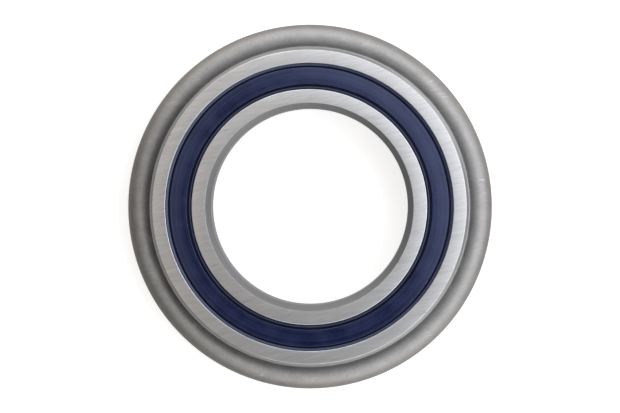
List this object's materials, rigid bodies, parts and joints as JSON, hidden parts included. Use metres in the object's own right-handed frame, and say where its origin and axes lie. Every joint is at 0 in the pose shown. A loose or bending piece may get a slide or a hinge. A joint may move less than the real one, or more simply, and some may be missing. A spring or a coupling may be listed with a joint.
{
  "type": "clutch release bearing",
  "caption": "Sealed angular contact ball bearing with a wide rounded flange and contact crown on its outer ring, pressed on a sleeve to release a clutch.",
  "frame": {"origin": "on the bearing axis, at the height of the contact crown's top, which is the lowest point", "axes": "+Z along the bearing axis, from the contact crown towards the ground rear faces; X passes through the first ball"},
  "size_m": [0.084, 0.084, 0.016],
  "materials": {
    "bearing_steel": "ground faces, satin rim",
    "ball_steel": "lapped",
    "core_steel": "rolled sheet",
    "seal_rubber": "moulded, half gloss",
    "cage_nylon": "moulded"
  },
  "bodies": {
    "inner": {"inner_ring": "bearing_steel"},
    "outer": {"outer_ring": "bearing_steel", "rear_seal": "seal_rubber", "rear_seal_core": "core_steel", "front_seal": "seal_rubber", "front_seal_core": "core_steel"},
    "cage": {"cage": "cage_nylon"},
    "ball_01": {"ball_01": "ball_steel"},
    "ball_02": {"ball_02": "ball_steel"},
    "ball_03": {"ball_03": "ball_steel"},
    "ball_04": {"ball_04": "ball_steel"},
    "ball_05": {"ball_05": "ball_steel"},
    "ball_06": {"ball_06": "ball_steel"},
    "ball_07": {"ball_07": "ball_steel"},
    "ball_08": {"ball_08": "ball_steel"},
    "ball_09": {"ball_09": "ball_steel"},
    "ball_10": {"ball_10": "ball_steel"},
    "ball_11": {"ball_11": "ball_steel"},
    "ball_12": {"ball_12": "ball_steel"},
    "ball_13": {"ball_13": "ball_steel"},
    "ball_14": {"ball_14": "ball_steel"},
    "ball_15": {"ball_15": "ball_steel"},
    "ball_16": {"ball_16": "ball_steel"}
  },
  "joints": [
    {"name": "outer_spin", "type": "hinge", "parent": "inner", "child": "outer", "pos_m": [0, 0, 0.0088], "axis": [0, 0, 1], "continuous": true},
    {"name": "cage_spin", "type": "hinge", "parent": "inner", "child": "cage", "pos_m": [0, 0, 0.0088], "axis": [0, 0, 1], "continuous": true},
    {"name": "ball_01_spin", "type": "hinge", "parent": "cage", "child": "ball_01", "pos_m": [0.03, 0, 0.0088], "axis": [0.342, 0, 0.9397], "continuous": true},
    {"name": "ball_02_spin", "type": "hinge", "parent": "cage", "child": "ball_02", "pos_m": [0.02772, 0.01148, 0.0088], "axis": [0.316, 0.1309, 0.9397], "continuous": true},
    {"name": "ball_03_spin", "type": "hinge", "parent": "cage", "child": "ball_03", "pos_m": [0.02121, 0.02121, 0.0088], "axis": [0.2418, 0.2418, 0.9397], "continuous": true},
    {"name": "ball_04_spin", "type": "hinge", "parent": "cage", "child": "ball_04", "pos_m": [0.01148, 0.02772, 0.0088], "axis": [0.1309, 0.316, 0.9397], "continuous": true},
    {"name": "ball_05_spin", "type": "hinge", "parent": "cage", "child": "ball_05", "pos_m": [0, 0.03, 0.0088], "axis": [0, 0.342, 0.9397], "continuous": true},
    {"name": "ball_06_spin", "type": "hinge", "parent": "cage", "child": "ball_06", "pos_m": [-0.01148, 0.02772, 0.0088], "axis": [-0.1309, 0.316, 0.9397], "continuous": true},
    {"name": "ball_07_spin", "type": "hinge", "parent": "cage", "child": "ball_07", "pos_m": [-0.02121, 0.02121, 0.0088], "axis": [-0.2418, 0.2418, 0.9397], "continuous": true},
    {"name": "ball_08_spin", "type": "hinge", "parent": "cage", "child": "ball_08", "pos_m": [-0.02772, 0.01148, 0.0088], "axis": [-0.316, 0.1309, 0.9397], "continuous": true},
    {"name": "ball_09_spin", "type": "hinge", "parent": "cage", "child": "ball_09", "pos_m": [-0.03, 0, 0.0088], "axis": [-0.342, 0, 0.9397], "continuous": true},
    {"name": "ball_10_spin", "type": "hinge", "parent": "cage", "child": "ball_10", "pos_m": [-0.02772, -0.01148, 0.0088], "axis": [-0.316, -0.1309, 0.9397], "continuous": true},
    {"name": "ball_11_spin", "type": "hinge", "parent": "cage", "child": "ball_11", "pos_m": [-0.02121, -0.02121, 0.0088], "axis": [-0.2418, -0.2418, 0.9397], "continuous": true},
    {"name": "ball_12_spin", "type": "hinge", "parent": "cage", "child": "ball_12", "pos_m": [-0.01148, -0.02772, 0.0088], "axis": [-0.1309, -0.316, 0.9397], "continuous": true},
    {"name": "ball_13_spin", "type": "hinge", "parent": "cage", "child": "ball_13", "pos_m": [0, -0.03, 0.0088], "axis": [0, -0.342, 0.9397], "continuous": true},
    {"name": "ball_14_spin", "type": "hinge", "parent": "cage", "child": "ball_14", "pos_m": [0.01148, -0.02772, 0.0088], "axis": [0.1309, -0.316, 0.9397], "continuous": true},
    {"name": "ball_15_spin", "type": "hinge", "parent": "cage", "child": "ball_15", "pos_m": [0.02121, -0.02121, 0.0088], "axis": [0.2418, -0.2418, 0.9397], "continuous": true},
    {"name": "ball_16_spin", "type": "hinge", "parent": "cage", "child": "ball_16", "pos_m": [0.02772, -0.01148, 0.0088], "axis": [0.316, -0.1309, 0.9397], "continuous": true}
  ],
  "couplings": [
    {"joint": "cage_spin", "follows": "outer_spin", "ratio": 0.56837},
    {"joint": "ball_01_spin", "follows": "outer_spin", "ratio": 3.3718},
    {"joint": "ball_02_spin", "follows": "outer_spin", "ratio": 3.3718},
    {"joint": "ball_03_spin", "follows": "outer_spin", "ratio": 3.3718},
    {"joint": "ball_04_spin", "follows": "outer_spin", "ratio": 3.3718},
    {"joint": "ball_05_spin", "follows": "outer_spin", "ratio": 3.3718},
    {"joint": "ball_06_spin", "follows": "outer_spin", "ratio": 3.3718},
    {"joint": "ball_07_spin", "follows": "outer_spin", "ratio": 3.3718},
    {"joint": "ball_08_spin", "follows": "outer_spin", "ratio": 3.3718},
    {"joint": "ball_09_spin", "follows": "outer_spin", "ratio": 3.3718},
    {"joint": "ball_10_spin", "follows": "outer_spin", "ratio": 3.3718},
    {"joint": "ball_11_spin", "follows": "outer_spin", "ratio": 3.3718},
    {"joint": "ball_12_spin", "follows": "outer_spin", "ratio": 3.3718},
    {"joint": "ball_13_spin", "follows": "outer_spin", "ratio": 3.3718},
    {"joint": "ball_14_spin", "follows": "outer_spin", "ratio": 3.3718},
    {"joint": "ball_15_spin", "follows": "outer_spin", "ratio": 3.3718},
    {"joint": "ball_16_spin", "follows": "outer_spin", "ratio": 3.3718}
  ]
}
